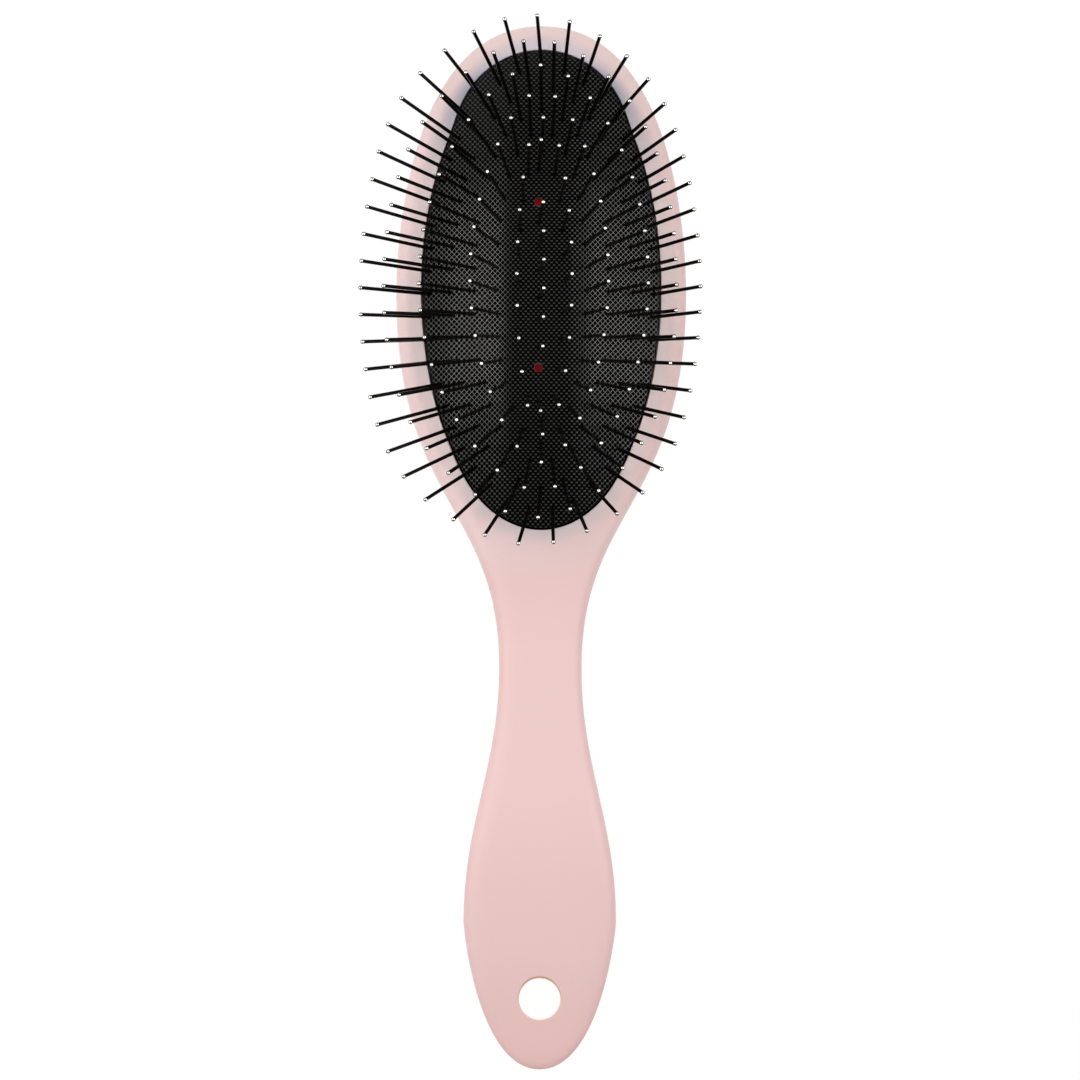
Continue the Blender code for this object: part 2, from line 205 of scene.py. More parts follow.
def lightTent():
    world = bpy.data.worlds.new("tent")
    scene.world = world
    world.use_nodes = True
    tree = world.node_tree
    tree.nodes.clear()
    direction = addNode(tree, "TexCoord").outputs["Generated"]
    brighter = (-studio["tentToLeft"], studio["tentToHead"], 0)
    side = calculateVector(tree, "DOT_PRODUCT", direction, brighter, result="Value")
    level = calculate(tree, "MULTIPLY_ADD", side, studio["tent"], studio["tent"])
    even = addNode(tree, "Background", {}, {"Color": (1, 1, 1, 1), "Strength": level})
    height = addNode(tree, "SeparateXYZ", {}, {0: direction}).outputs["Z"]
    wall = ramp(tree, height, (studio["wallTo"], studio["ceilingFrom"]), (1, studio["ceiling"]))
    cloth = addNode(tree, "Background", {}, {"Color": (1, 1, 1, 1), "Strength": wall})
    mix = addNode(tree, "MixShader", {}, {0: seenDirectly(tree), 1: even.outputs[0], 2: cloth.outputs[0]})
    addNode(tree, "OutputWorld", {}, {"Surface": mix.outputs[0]})


def layFloor():
    # White paper: seen straight on it is white, and the brush's shadow stays on it
    material, tree = startMaterial("paperFloor")
    seen = seenDirectly(tree)
    shade = studio["floorShade"]
    shaded = addNode(tree, "BsdfDiffuse", {}, {"Color": (shade, shade, shade, 1)})
    glow = addNode(tree, "Emission", {}, {"Color": (1, 1, 1, 1), "Strength": studio["floorGlow"]})
    white = addNode(tree, "AddShader", {}, {0: shaded.outputs[0], 1: glow.outputs[0]})
    paper = addNode(tree, "BsdfDiffuse", {}, {"Color": linear("ececec")})
    warm = addNode(tree, "Emission", {}, {"Color": studio["floorBounce"]})
    bright = addNode(tree, "AddShader", {}, {0: paper.outputs[0], 1: warm.outputs[0]})
    mix = addNode(tree, "MixShader", {}, {0: seen, 1: bright.outputs[0], 2: white.outputs[0]})
    addNode(tree, "OutputMaterial", {}, {"Surface": mix.outputs[0]})
    bm = bmesh.new()
    bmesh.ops.create_circle(bm, cap_ends=True, segments=studio["floorSides"],
                            radius=studio["floorRadius"] * mm)
    mesh = bpy.data.meshes.new("floor")
    bm.to_mesh(mesh)
    bm.free()
    mesh.materials.append(material)
    floor = bpy.data.objects.new("floor", mesh)
    scene.collection.objects.link(floor)
    floor.location.z = -studio["floorDrop"] * mm


makeCamera()
hangSoftbox("softbox_left", -1, studio["leftFrom"], studio["leftTo"], studio["leftRadiance"])
hangSoftbox("softbox_right", 1, studio["rightFrom"], studio["rightTo"], studio["rightRadiance"])
hangOverhead()
lightTent()
layFloor()
print("camera, lights, tent and floor are in place")


# Small mesh helpers
def spanAcross(bm, ring):
    # closes a ring that is alike on both sides of X = 0 with strips across it
    count = len(ring)
    for j in range(count // 2):
        corners = (ring[j], ring[j + 1], ring[(count - j - 1) % count], ring[(count - j) % count])
        bm.faces.new(list(dict.fromkeys(corners)))


def skinRows(bm, rows):
    for lower, upper in zip(rows, rows[1:]):
        for j in range(len(lower)):
            k = (j + 1) % len(lower)
            bm.faces.new((lower[j], lower[k], upper[k], upper[j]))


def addRing(bm, points):
    return [bm.verts.new(Vector(p) * mm) for p in points]


def loft(bm, rings):
    rows = [addRing(bm, ring) for ring in rings]
    spanAcross(bm, rows[0])
    spanAcross(bm, rows[-1])
    skinRows(bm, rows)


def meshObject(name, bm, materials, sharpAngle=40):
    bmesh.ops.recalc_face_normals(bm, faces=bm.faces)
    mesh = bpy.data.meshes.new(name)
    bm.to_mesh(mesh)
    bm.free()
    for material in materials:
        mesh.materials.append(material)
    mesh.shade_smooth()
    mesh.set_sharp_from_angle(angle=math.radians(sharpAngle))
    piece = bpy.data.objects.new(name, mesh)
    scene.collection.objects.link(piece)
    return piece


def cutAway(piece, cutter, sharpAngle=40):
    cut = piece.modifiers.new("cut", "BOOLEAN")
    cut.operation = "DIFFERENCE"
    cut.object = cutter
    cut.solver = "EXACT"
    mesh = bpy.data.meshes.new_from_object(piece.evaluated_get(bpy.context.evaluated_depsgraph_get()))
    piece.modifiers.clear()
    piece.data = mesh
    mesh.set_sharp_from_angle(angle=math.radians(sharpAngle))
    bpy.data.objects.remove(cutter, do_unlink=True)


def ellipse(halfWidth, halfLength, height, sides):
    points = []
    for j in range(sides):
        angle = math.tau * j / sides
        x, y = halfWidth * math.sin(angle), halfLength * math.cos(angle)
        points.append((x, y, height(x, y) if callable(height) else height))
    return points


# The handle: one moulding with the head, the neck and the grip
handle = {
    "headEnd": 60.5, "headWidestAt": -0.2, "headHalfWidth": 32.8,
    "neckAt": -84.9, "neckHalfWidth": 9.3,
    "gripWidestAt": -142.1, "gripHalfWidth": 17.2, "tailEnd": -175.5,
    # how full each curve of the outline is
    "headPulls": (0.963, 0.115), "shoulderPulls": (0.565, 0.427),
    "gripPulls": (0.397, 0.388), "tailPulls": (0.089, 0.788),
    "headThickness": 17.0, "backFlatTo": -45.0, "neckFront": 14.5, "neckBack": 1.5,
    "thickestAt": -115.0, "gripThickness": 15.0, "tailFront": 6.2, "tailBack": 1.2,
    "crown": 0.6, "widestShare": 0.55,
    # the front stays flat this far past the pad, towards the neck
    "flatPastPad": 3,
    # widths of the rounded edges at the head, neck, grip and tail, and how full the front ones are
    "frontRounding": (5.5, 6.5, 8.0, 5.5), "backRounding": (15.0, 6.0, 8.0, 5.0), "frontFullness": 4,
    "spanSteps": 34, "roundingSteps": 12, "directionPasses": 24,
    # rings that close the front face, as shares of the way in to its middle line
    "faceShares": (0, 0.4, 0.8),
    "holeRadius": 4.7, "holeFromTail": 15.85, "holeFrontLip": 0.4, "holeBackLip": 3.2,
    # the heights between which the hole is cut, clear of the handle
    "holeSides": 72, "holeCutFrom": -5, "holeCutTo": 20,
    "seatLip": 0.25, "seatDepth": 6.8, "floorThickness": 2.5, "lipSteps": 5,
}

# The cushion comes before the handle's shape, because the seat in the head follows its outline
cushion = {
    "halfWidth": 27.2, "halfLength": 54.2,
    # shares by which the outline is slimmer than an ellipse along its sides and fuller at its ends
    "slimmer": 0.015, "fullerHead": 0.16, "fullerTail": 0.065, "fullerFrom": 0.62,
    "edgeHeight": 17.3, "domeHeight": 10.7,
    # the level strip along the crown, and how sharply it breaks off to the flanks
    "crownMiddle": -0.8, "crownHalfWidth": 7.3, "crownTaper": 10.0, "crease": 0.03,
    "straightFall": 0.6,
    # half the distance over which the dome's slope is measured
    "slopeStep": 0.05,
    "thickness": 1.0, "gap": 0.3, "ledgeInset": 2.7, "lipBottom": 10.5,
    "sides": 240,
    # the skin's edge from the net's border down to the skirt, as insets and drops
    "borderInset": 0.3, "borderDrop": 0.02, "edgeRounding": ((0.12, 0.1), (0.03, 0.28), (0, 0.5)),
    # the lip's outer corner, inwards and up
    "lipRounding": (0.1, 0.3),
    # rings of the skin's inner face, as shares of its outline
    "innerShares": (0.92, 0.82, 0.7, 0.57, 0.44, 0.31, 0.18, 0.07),
    # the embossed net, even as seen from above: the diagonals of a diamond, half width and height
    # of a ridge, extra height of a knot where two ridges cross
    "netAcross": 1.155, "netAlong": 1.225, "ridgeHalf": 0.08, "ridgeHeight": 0.05, "knotHeight": 0.05,
    # the net ends in a plain border: what is past the inside share is drawn onto the border in
    # a few passes, and the ridges sink over the last 1/25 of the way out to it
    "plainBorder": 0.15, "insideShare": 0.9995, "borderPasses": 4, "ridgeSink": 25,
    # a dimple where each pin goes in
    "socketRadius": 0.85, "socketDepth": 0.22,
    "ventRadius": 0.92, "ventAt": 18.8, "ventLip": 0.25, "centreRowAt": -0.6,
    # how far the vents' cutter reaches below and above the face, and how far its lip stands above it
    "ventCut": 2, "ventRise": 0.05, "ventLipSteps": 4, "ventSides": 40,
}


# How wide the pad is at y, as a share of an ellipse's width there
def widening(y):
    out = np.abs(y) / cushion["halfLength"]
    t = np.clip((out - cushion["fullerFrom"]) / (1 - cushion["fullerFrom"]), 0, 1)
    fuller = np.where(np.asarray(y) > 0, cushion["fullerHead"], cushion["fullerTail"])
    return 1 - cushion["slimmer"] + fuller * t * t * (3 - 2 * t)


# An ellipse widened to the pad's own outline
def padOval(halfWidth, halfLength, height, sides):
    flat = [(x * float(widening(y)), y) for x, y, _ in ellipse(halfWidth, halfLength, 0, sides)]
    return [(x, y, height(x, y) if callable(height) else height) for x, y in flat]


def ease(y, *stations):
    # the value at y between stations (y, value), listed from the head's end to the tail
    for (y0, v0), (y1, v1) in zip(stations, stations[1:]):
        if y > y1:
            t = max((y0 - y) / (y0 - y1), 0)
            return v0 + (v1 - v0) * t * t * (3 - 2 * t)
    return stations[-1][1]


def frontHeight(y):
    return ease(y, (-cushion["halfLength"] - handle["flatPastPad"], handle["headThickness"]),
                (handle["neckAt"], handle["neckFront"]),
                (handle["thickestAt"], handle["gripThickness"]), (handle["tailEnd"], handle["tailFront"]))


def frontCrown(y):
    return ease(y, (-cushion["halfLength"] - handle["flatPastPad"], 0),
                (handle["neckAt"], handle["crown"]),
                (handle["gripWidestAt"], handle["crown"]), (handle["tailEnd"], 0))


def backHeight(y):
    return ease(y, (handle["backFlatTo"], 0), (handle["neckAt"], handle["neckBack"]),
                (handle["thickestAt"], 0), (handle["gripWidestAt"], 0),
                (handle["tailEnd"], handle["tailBack"]))


def widestHeight(y):
    return backHeight(y) + handle["widestShare"] * (frontHeight(y) - backHeight(y))


def curveSpan(start, startPull, endPull, end):
    a, b, c, d = (np.array(p, float) for p in (start, startPull, endPull, end))
    samples = []
    for t in np.arange(handle["spanSteps"]) / handle["spanSteps"]:
        s = 1 - t
        place = s**3 * a + 3 * s * s * t * b + 3 * s * t * t * c + t**3 * d
        samples.append((place, s * s * (b - a) + 2 * s * t * (c - b) + t * t * (d - c)))
    return samples


def sideSpan(start, end, pulls):
    length = start[1] - end[1]
    return curveSpan(start, (start[0], start[1] - pulls[0] * length),
                     (end[0], end[1] + pulls[1] * length), end)


def halfOutline():
    # places and inward directions from the head's end, down the +X side, to the tail
    h = handle
    head, neck = (h["headHalfWidth"], h["headWidestAt"]), (h["neckHalfWidth"], h["neckAt"])
    grip = (h["gripHalfWidth"], h["gripWidestAt"])
    headPull = (head[0], head[1] + h["headPulls"][1] * (h["headEnd"] - head[1]))
    gripPull = (grip[0], grip[1] - h["tailPulls"][0] * (grip[1] - h["tailEnd"]))
    samples = curveSpan((0, h["headEnd"]), (h["headPulls"][0] * head[0], h["headEnd"]), headPull, head)
    samples += sideSpan(head, neck, h["shoulderPulls"])
    samples += sideSpan(neck, grip, h["gripPulls"])
    samples += curveSpan(grip, gripPull, (h["tailPulls"][1] * grip[0], h["tailEnd"]), (0, h["tailEnd"]))
    places = [p for p, t in samples] + [np.array((0, h["tailEnd"]))]
    inward = np.array([np.array((t[1], -t[0])) / np.hypot(*t) for p, t in samples] + [(0, 1)])
    # neighbours share their directions, so that a wide rounding doesn't fold where the outline turns
    for _ in range(h["directionPasses"]):
        inward[1:-1] = inward[:-2] / 4 + inward[1:-1] / 2 + inward[2:] / 4
        inward /= np.linalg.norm(inward, axis=1)[:, None]
    return list(zip(places, inward))


def outlineRing(outline, roundings, inwardShare, height, towardMiddle=0.0):
    stations = (handle["headWidestAt"], handle["neckAt"], handle["gripWidestAt"], handle["tailEnd"])
    side = []
    for place, inward in outline:
        x, y = place + inward * ease(place[1], *zip(stations, roundings)) * inwardShare
        side.append((max(x, 0) * (1 - towardMiddle), y, height(y)))
    return side + [(-x, y, z) for x, y, z in side[-2:0:-1]]


def handleBody():
    outline = halfOutline()
    behind, before = handle["backRounding"], handle["frontRounding"]
    turns = np.linspace(0, math.pi / 2, handle["roundingSteps"] + 1)
    rings = []
    for turn in turns:
        rings.append(outlineRing(outline, behind, 1 - math.sin(turn), lambda y: widestHeight(y)
                                 + (backHeight(y) - widestHeight(y)) * math.cos(turn)))
    power = 2 / handle["frontFullness"]
    for turn in turns[1:-1]:
        drawn, raised = 1 - math.cos(turn) ** power, math.sin(turn) ** power
        rings.append(outlineRing(outline, before, drawn, lambda y: widestHeight(y)
                                 + (frontHeight(y) + frontCrown(y) - widestHeight(y)) * raised))
    for share in handle["faceShares"]:
        rings.append(outlineRing(outline, before, 1, lambda y: frontHeight(y) + frontCrown(y), share))
    bm = bmesh.new()
    loft(bm, rings)
    return bm


def flare(radius, steps):
    # (outward, below the face) along a rounded lip, from inside the hole up to the face
    turns = np.linspace(0, math.pi / 2, steps + 1)
    return [(radius * (1 - math.cos(t)), radius * (1 - math.sin(t))) for t in turns]


def seatCutter():
    top, lip = handle["headThickness"], handle["seatLip"]
    ledge = top - handle["seatDepth"]
    insets = [(cushion["ledgeInset"], handle["floorThickness"]), (cushion["ledgeInset"], ledge),
              (-cushion["gap"], ledge)]
    insets += [(-cushion["gap"] - out, top - down) for out, down in flare(lip, handle["lipSteps"])]
    insets.append((-cushion["gap"] - lip, 2 * top))
    bm = bmesh.new()
    loft(bm, [padOval(cushion["halfWidth"] - inset, cushion["halfLength"] - inset, z, cushion["sides"])
              for inset, z in insets])
    return bm


def holeCutter():
    middle = handle["tailEnd"] + handle["holeFromTail"]
    radius = handle["holeRadius"]
    rings = []

    def ring(grow, height):
        points = ellipse(radius + grow, radius + grow, 0, handle["holeSides"])
        rings.append([(x, y + middle, height(y + middle)) for x, y, z in points])

    ring(handle["holeBackLip"], lambda y: handle["holeCutFrom"])
    for out, up in reversed(flare(handle["holeBackLip"], handle["lipSteps"])):
        ring(out, lambda y: backHeight(y) + up)
    for out, down in flare(handle["holeFrontLip"], handle["lipSteps"]):
        ring(out, lambda y: frontHeight(y) + frontCrown(y) - down)
    ring(handle["holeFrontLip"], lambda y: handle["holeCutTo"])
    bm = bmesh.new()
    loft(bm, rings)
    return bm


# Tints of the handle's coat, and the spans over which one gives way to the next. All but the pinks are
# painted shade and light: a darker tail, and tints round the pad and on the wall of the hang hole
coat = {
    "pinks": ("ebc7c4", "edc9c6"), "tail": "e6bcb8", "tailShadeSpan": (-150, -178),
    # close to the pad, painted shade that turns the pink cool and grey: at its sides, at its shoulders,
    # past the head's end and at the neck
    "beside": "efdbd8", "shoulders": "a3a5b3", "shouldersSpan": (25, 45),
    "end": "d4c9d1", "endSpan": (47, 54), "neck": "dccccb", "neckSpan": (-38, -52),
    # further out, painted light and shade: a lighter tint at the left, and tints at the right and round the
    # head's end
    "left": "f3d7d5", "right": "e8c9c6", "acrossSpan": (-30, 30), "round": "e5ccc9",
    # distances from the pad over which these two bands end
    "closeSpan": (1.0, 4.5), "wideSpan": (5.0, 14.0),
    # the wall of the hang hole: its upper tint is painted shade, a warm tan, and its lower tint painted
    # light, a cream; and how far they reach out of the hole
    "wallShadeAbove": "c98a5a", "wallLightBelow": "fff4dc", "wallSpan": (8.8, 6.8), "wallReach": 0.3,
}


# Distance in mm outside the oval of the pad, from the object's own coordinates in metres
def distanceFromPad(tree, place):
    a, b = cushion["halfWidth"] * mm, cushion["halfLength"] * mm
    shares = calculateVector(tree, "MULTIPLY", place, (1 / a, 1 / b, 0))
    slopes = calculateVector(tree, "MULTIPLY", place, (mm / a**2, mm / b**2, 0))
    out = calculateVector(tree, "LENGTH", shares, result="Value")
    steep = calculateVector(tree, "LENGTH", slopes, result="Value")
    past = calculate(tree, "MULTIPLY", calculate(tree, "SUBTRACT", out, 1), out)
    return calculate(tree, "DIVIDE", past, steep)


# Painted shade round the pad: cool and grey close to it, and painted light and shade further out, lighter
# at the left
def paintShadeRoundPad(tree, place, pink):
    split = addNode(tree, "SeparateXYZ", {}, {0: place}).outputs
    towardEnd = ramp(tree, split["Y"], metres(coat["shouldersSpan"]))
    close = mixTints(tree, towardEnd, coat["beside"], coat["shoulders"])
    for name in ("end", "neck"):
        toward = ramp(tree, split["Y"], metres(coat[name + "Span"]))
        close = mixTints(tree, toward, close, coat[name])
    toRight = ramp(tree, split["X"], metres(coat["acrossSpan"]))
    wide = mixTints(tree, toRight, coat["left"], coat["right"])
    wide = mixTints(tree, towardEnd, wide, coat["round"])
    past = distanceFromPad(tree, place)
    band = mixTints(tree, ramp(tree, past, coat["closeSpan"], (1, 0), soft=True), wide, close)
    return mixTints(tree, ramp(tree, past, coat["wideSpan"], (1, 0), soft=True), pink, band)


# Painted shade and light on the hang hole's wall: a warm tan above and a cream below
def paintShadeHoleWall(tree, place, tint):
    holeAt = (0, (handle["tailEnd"] + handle["holeFromTail"]) * mm, 0)
    flat = calculateVector(tree, "MULTIPLY", place, (1, 1, 0))
    away = calculateVector(tree, "DISTANCE", flat, holeAt, result="Value")
    reach = metres((handle["holeRadius"], handle["holeRadius"] + coat["wallReach"]))
    height = addNode(tree, "SeparateXYZ", {}, {0: place}).outputs["Z"]
    down = ramp(tree, height, metres(coat["wallSpan"]))
    wall = mixTints(tree, down, coat["wallShadeAbove"], coat["wallLightBelow"])
    return mixTints(tree, ramp(tree, away, reach, (1, 0)), tint, wall)


# Moulded ABS with a sprayed soft-touch coat: an even, powdery pink with hardly any shine. Round the
# black pad painted shade turns it cool and grey, most at the shoulders of the head's end, and painted
# light makes it lighter to the left. It is painted darker towards the tail as shade, and on the wall of the
# hang hole painted shade gives a warm tan above and painted light a cream below
def softTouchAbs():
    material, tree = startMaterial("softTouchAbs")
    place = addNode(tree, "TexCoord").outputs["Object"]
    pink = mixTints(tree, noise(tree, place, 60, 3), *coat["pinks"])
    along = addNode(tree, "SeparateXYZ", {}, {0: place}).outputs["Y"]
    # painted shade: the pink darkens towards the tail
    pink = mixTints(tree, ramp(tree, along, metres(coat["tailShadeSpan"])), pink, coat["tail"])
    tint = paintShadeHoleWall(tree, place, paintShadeRoundPad(tree, place, pink))
    grain = noise(tree, place, 5000, 2)
    return finishMaterial(material, tree, {
        "Base Color": tint, "Roughness": ramp(tree, grain, results=(0.5, 0.62)),
        "Normal": bump(tree, grain, 0.12, 0.06),
        "IOR": 1.5, "Specular IOR Level": 0.25, "Sheen Weight": 0.05, "Sheen Roughness": 0.5})


def makeHandle():
    pink = softTouchAbs()
    piece = meshObject("handle_moulding", handleBody(), [pink])
    cutAway(piece, meshObject("seat_cutter", seatCutter(), [pink]))
    cutAway(piece, meshObject("hole_cutter", holeCutter(), [pink]))
    weighted = piece.modifiers.new("even shading", "WEIGHTED_NORMAL")
    weighted.keep_sharp = True
    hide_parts("handle")
    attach(piece, "handle")
    print("handle:", len(piece.data.polygons), "faces")


makeHandle()


# The air cushion: the rubber skin with its embossed net. The least values in the next two formulas
# only keep them sound where the oval comes to its ends
def edgeReach(y):
    across = np.sqrt(np.clip(1 - (y / cushion["halfLength"]) ** 2, 1e-4, 1))
    return cushion["halfWidth"] * widening(y) * across


def domeLift(x, y):
    along = np.clip(1 - (y / cushion["halfLength"]) ** 2, 0, 1)
    edge = edgeReach(y)
    middle = cushion["crownMiddle"] * along
    strip = cushion["crownHalfWidth"] * np.tanh(edge / cushion["crownTaper"])
    reach = np.where(x > middle, edge - middle, edge + middle)
    t = (np.abs(x - middle) - strip) / np.maximum(reach - strip, 0.05)
    fall = (t + np.sqrt(t * t + cushion["crease"] ** 2)) / 2
    share = cushion["straightFall"]
    return cushion["domeHeight"] * along * np.clip(1 - share * fall - (1 - share) * fall * fall, 0, 1)


def faceHeight(x, y):
    return cushion["edgeHeight"] + domeLift(x, y)


def slopeAcross(x, y):
    step = cushion["slopeStep"]
    return (domeLift(x + step, y) - domeLift(x - step, y)) / (2 * step)


def slopeAlong(x, y):
    step = cushion["slopeStep"]
    return (domeLift(x, y + step) - domeLift(x, y - step)) / (2 * step)


# The height of a sheet that lies this deep under the face, measured square to it
def below(depth):
    def height(x, y):
        steep = math.sqrt(1 + slopeAcross(x, y) ** 2 + slopeAlong(x, y) ** 2)
        return float(faceHeight(x, y) - depth * steep)
    return height


# The pins: five oval rings round one row
pins = {
    "length": 23.0, "radius": 0.42, "tipRadius": 0.50, "rootDepth": 2.16,
    "ringInset": 2.0, "ringEndInset": 4.3, "innerHalfWidth": 5.2, "innerHalfLength": 29.9,
    "counts": (47, 41, 35, 29, 20), "centreRow": (0.094, 0.281, 0.468, 0.860),
    # steps in which a ring is paced out, so that its pins stand evenly
    "paceSteps": 2000,
    # lean of a pin: the tips fan out, less in one pair of opposite corners than in the other
    "fanAcross": 0.579, "skewAcross": 0.050, "fanAlong": 0.189, "skewAlong": 0.035,
    "sideLean": 1.50, "tailLean": 0.21,
    # folds in the rubber: one along the crown, and a ripple across and one along
    "crownLean": 0.78, "foldLean": 1.94, "foldPeriod": 44.4,
    "rippleAcross": 2.03, "periodAcross": 22.3, "rippleAlong": 0.45, "periodAlong": 56.7,
    "sides": 12,
    # steps of the ball from its lowest to its highest point, and rings of it that are bare metal
    "ballSteps": 9, "bareSteps": 2,
}


def ringPlaces(index):
    steps = len(pins["counts"]) - 1
    outerWidth = cushion["halfWidth"] - pins["ringInset"]
    outerLength = cushion["halfLength"] - pins["ringEndInset"]
    halfWidth = outerWidth + (pins["innerHalfWidth"] - outerWidth) * index / steps
    halfLength = outerLength + (pins["innerHalfLength"] - outerLength) * index / steps
    angles = np.linspace(0, math.tau, pins["paceSteps"] + 1)
    x, y = halfWidth * np.sin(angles), halfLength * np.cos(angles)
    distance = np.concatenate(([0], np.cumsum(np.hypot(np.diff(x), np.diff(y)))))
    count = pins["counts"][index]
    along = (np.arange(count) + 0.5 * (index % 2)) / count * distance[-1]
    return list(zip(np.interp(along, distance, x), np.interp(along, distance, y)))


def pinPlaces(index):
    if index == len(pins["counts"]):
        return [(cushion["centreRowAt"], side * share * pins["innerHalfLength"])
                for share in pins["centreRow"] for side in (1, -1)]
    return ringPlaces(index)


def pinDirection(x, y):
    p = pins
    across, along = x / cushion["halfWidth"], y / cushion["halfLength"]
    crown = p["crownLean"] + p["foldLean"] * math.cos(math.tau * x / p["foldPeriod"])
    ripple = p["rippleAcross"] * math.sin(math.tau * x / p["periodAcross"])
    leanX = x * (p["fanAcross"] - p["skewAcross"] * along) - p["sideLean"]
    leanX += (1 - along**2) * (crown - ripple)
    leanY = y * (p["fanAlong"] - p["skewAlong"] * across) - p["tailLean"]
    leanY -= p["rippleAlong"] * math.sin(math.tau * y / p["periodAlong"])
    return np.array((leanX, leanY, math.sqrt(p["length"]**2 - leanX**2 - leanY**2))) / p["length"]


def netGrid():
    # points of the net in diagonals of a diamond, which the ridge lines cross corner to corner:
    # a crest and two feet for each ridge
    spacing = 1 / math.hypot(1 / cushion["netAcross"], 1 / cushion["netAlong"])
    reach = math.ceil(math.hypot(cushion["halfWidth"] / cushion["netAcross"],
                                 cushion["halfLength"] / cushion["netAlong"]))
    offsets = np.array((-1, 0, 1)) * cushion["ridgeHalf"] / spacing
    lines = (np.arange(-reach, reach + 1)[:, None] + offsets).ravel()
    crest = np.tile((0, 1, 0), 2 * reach + 1)
    p, q = np.meshgrid(lines, lines, indexing="ij")
    onP, onQ = np.meshgrid(crest, crest, indexing="ij")
    return (p + q) / 2, (p - q) / 2, onP, onQ


def netSheet(bm, uvLayer):
    u, v, onP, onQ = netGrid()
    x, y = u * cushion["netAcross"], v * cushion["netAlong"]
    a = cushion["halfWidth"] - cushion["plainBorder"]
    b = cushion["halfLength"] - cushion["plainBorder"]
    out = np.hypot(x / (a * widening(y)), y / b)
    inside = out < cushion["insideShare"]
    for _ in range(cushion["borderPasses"]):
        snapped = np.where(inside, 1, np.hypot(x / (a * widening(y)), y / b))
        x, y = x / snapped, y / snapped
    height = (np.maximum(onP, onQ) - 1) * cushion["ridgeHeight"] + onP * onQ * cushion["knotHeight"]
    height = np.where(inside, height * np.clip((1 - out) * cushion["ridgeSink"], 0, 1), 0)
    z = faceHeight(x, y)
    for index in range(len(pins["counts"]) + 1):
        for px, py in pinPlaces(index):
            flat = math.hypot(1, float(slopeAcross(np.float64(px), np.float64(py))))
            away = ((x - px) * flat) ** 2 + (y - py) ** 2
            z = z - cushion["socketDepth"] * np.clip(1 - away / cushion["socketRadius"] ** 2, 0, 1) ** 2
    # heights are taken square to the face
    sx, sy = slopeAcross(x, y), slopeAlong(x, y)
    steep = np.sqrt(1 + sx**2 + sy**2)
    points = np.stack((x - height * sx / steep, y - height * sy / steep, z + height / steep), -1)
    verts = {}

    def vertex(i, j):
        if (i, j) not in verts:
            verts[i, j] = bm.verts.new(Vector(points[i, j]) * mm)
        return verts[i, j]

    keep = inside[:-1, :-1] | inside[1:, :-1] | inside[:-1, 1:] | inside[1:, 1:]
    for i, j in zip(*np.nonzero(keep)):
        corners = ((i, j), (i + 1, j), (i + 1, j + 1), (i, j + 1))
        face = bm.faces.new([vertex(*c) for c in corners])
        for loop, (p, q) in zip(face.loops, corners):
            loop[uvLayer].uv = (u[p, q], v[p, q])
    return verts


def borderLoop(bm):
    # the open edge of the net sheet, walked round from its +Y end
    edges = [e for e in bm.edges if len(e.link_faces) == 1]
    start = max((v for e in edges for v in e.verts), key=lambda v: v.co.y)
    loop, edge = [start], next(e for e in edges if start in e.verts)
    while True:
        vert = edge.other_vert(loop[-1])
        if vert is start:
            break
        loop.append(vert)
        edge = next(e for e in vert.link_edges if len(e.link_faces) == 1 and e is not edge)
    if loop[len(loop) // 4].co.x < 0:
        loop = [loop[0]] + loop[:0:-1]
    return loop


# The turn round the pad's middle at which a point lies, from its +Y end
def turnOf(vert):
    return math.atan2(vert.co.x / cushion["halfWidth"], vert.co.y / cushion["halfLength"]) % math.tau


def zipLoops(bm, first, second):
    # triangles between two loops with different counts, both walked the same way round
    def turns(loop):
        angles = [turnOf(v) for v in loop]
        if angles[0] > math.pi:
            angles[0] -= math.tau
        return angles + [angles[0] + math.tau]
    a, b = turns(first), turns(second)
    i = j = 0
    while i < len(first) or j < len(second):
        p, q = first[i % len(first)], second[j % len(second)]
        if j == len(second) or (i < len(first) and a[i + 1] <= b[j + 1]):
            i += 1
            bm.faces.new((p, first[i % len(first)], q))
        else:
            j += 1
            bm.faces.new((p, second[j % len(second)], q))


def cushionSkin():
    c = cushion
    bm = bmesh.new()
    uvLayer = bm.loops.layers.uv.new("net")
    netSheet(bm, uvLayer)
    bm.verts.ensure_lookup_table()
    edge = borderLoop(bm)

    def oval(inset, height, share=1):
        halfWidth, halfLength = c["halfWidth"] - inset, c["halfLength"] - inset
        return padOval(halfWidth * share, halfLength * share, height, c["sides"])

    top, bottom, wall = c["edgeHeight"], c["lipBottom"], c["thickness"]
    cornerIn, cornerUp = c["lipRounding"]
    rings = [oval(c["borderInset"], lambda x, y: float(faceHeight(x, y)) - c["borderDrop"])]
    rings += [oval(inset, top - drop) for inset, drop in c["edgeRounding"]]
    rings += [oval(0, bottom + cornerUp), oval(cornerIn, bottom), oval(c["ledgeInset"], bottom),
              oval(c["ledgeInset"], bottom + wall), oval(wall, bottom + wall)]
    rings += [oval(wall, below(wall), share) for share in (1, *c["innerShares"])]
    netFaces = set(bm.faces)
    rows = [addRing(bm, ring) for ring in rings]
    zipLoops(bm, edge, rows[0])
    skinRows(bm, rows)
    spanAcross(bm, rows[-1])
    # the rest of the skin lies in the middle of a diamond on the net's map, so it is plain
    for face in set(bm.faces) - netFaces:
        for loop in face.loops:
            loop[uvLayer].uv = (0.5, 0)
    return bm


